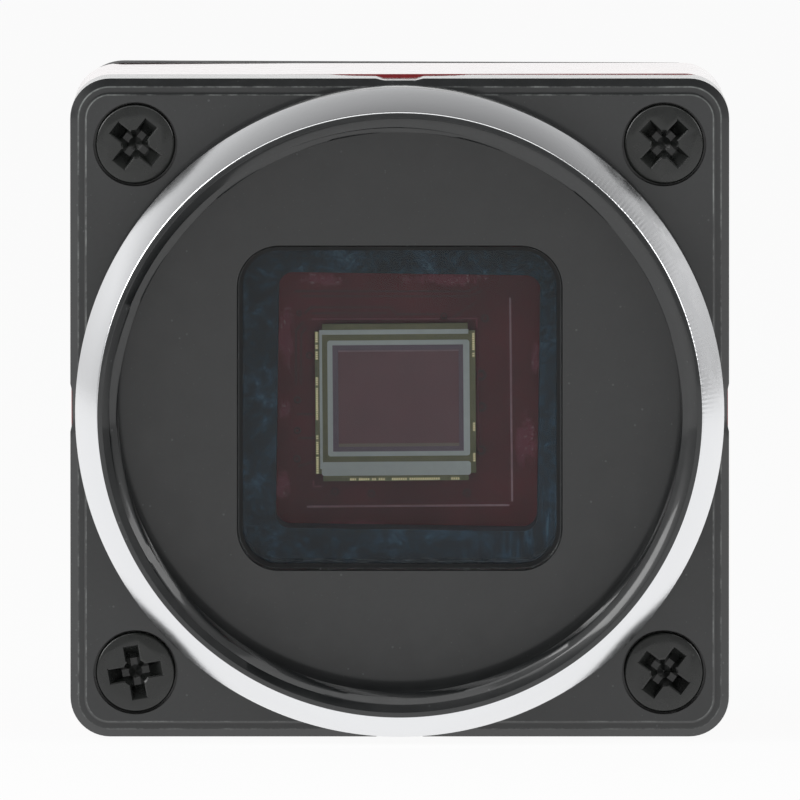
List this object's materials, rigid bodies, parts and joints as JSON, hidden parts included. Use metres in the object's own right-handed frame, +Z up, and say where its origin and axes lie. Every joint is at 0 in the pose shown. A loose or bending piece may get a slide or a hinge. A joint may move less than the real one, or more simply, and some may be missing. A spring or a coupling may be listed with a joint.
{
  "type": "microscope camera",
  "caption": "Small square camera with a screw lens mount, red body and bare image sensor behind a glass window; sockets at the back.",
  "frame": {"origin": "middle of the flat underside of the bounding box", "axes": "+Y runs back along the lens axis, from the lens flange to the sockets; +Z is up; the lens looks along -Y"},
  "size_m": [0.029, 0.0344, 0.029],
  "materials": {
    "black_anodised": "black anodised aluminium, satin, with a bare turned bevel round the lens mount",
    "black_steel": "black-finished steel screws",
    "window_glass": "clear coated filter glass",
    "black_adhesive": "black cured adhesive",
    "blue_black_rubber": "dark blue-black mottled gasket",
    "red_board": "red solder mask on a circuit board",
    "silicon": "olive-gold chip surface",
    "sensor_field": "rose-violet pixel field",
    "chip_metal": "bright metal layer on the chip",
    "gold_wire": "gold",
    "red_anodised": "red anodised aluminium, satin",
    "brass_spacer": "turned brass",
    "plated_steel": "nickel-plated",
    "connector_plastic": "black moulded plastic",
    "chip_plastic": "black moulded package",
    "ferrite": "grey ferrite",
    "ceramic": "ceramic with tinned ends",
    "clear_plastic": "clear light pipe"
  },
  "bodies": {
    "root": {"front_plate": "black_anodised", "front_screws": "black_steel", "window_filter": "window_glass", "filter_bond": "black_adhesive", "sensor_gasket": "blue_black_rubber", "sensor_board": "red_board", "sensor_die": "silicon", "pixel_array": "sensor_field", "die_metal": "chip_metal", "die_pads": "gold_wire", "body_shell": "red_anodised", "rear_plate": "black_anodised", "rear_screws": "black_steel", "front_spacers": "brass_spacer", "rear_spacers": "brass_spacer", "stack_screws": "plated_steel", "board_socket": "connector_plastic", "board_plug": "connector_plastic", "main_board": "red_board", "image_processor": "chip_plastic", "memory_chip": "chip_plastic", "power_inductors": "ferrite", "crystal": "plated_steel", "capacitors": "ceramic", "usb_shell": "plated_steel", "usb_insert": "connector_plastic", "io_shell": "plated_steel", "io_insert": "connector_plastic", "io_pins": "gold_wire", "io_nut": "plated_steel", "status_led": "ceramic", "light_pipe": "clear_plastic"}
  },
  "joints": []
}
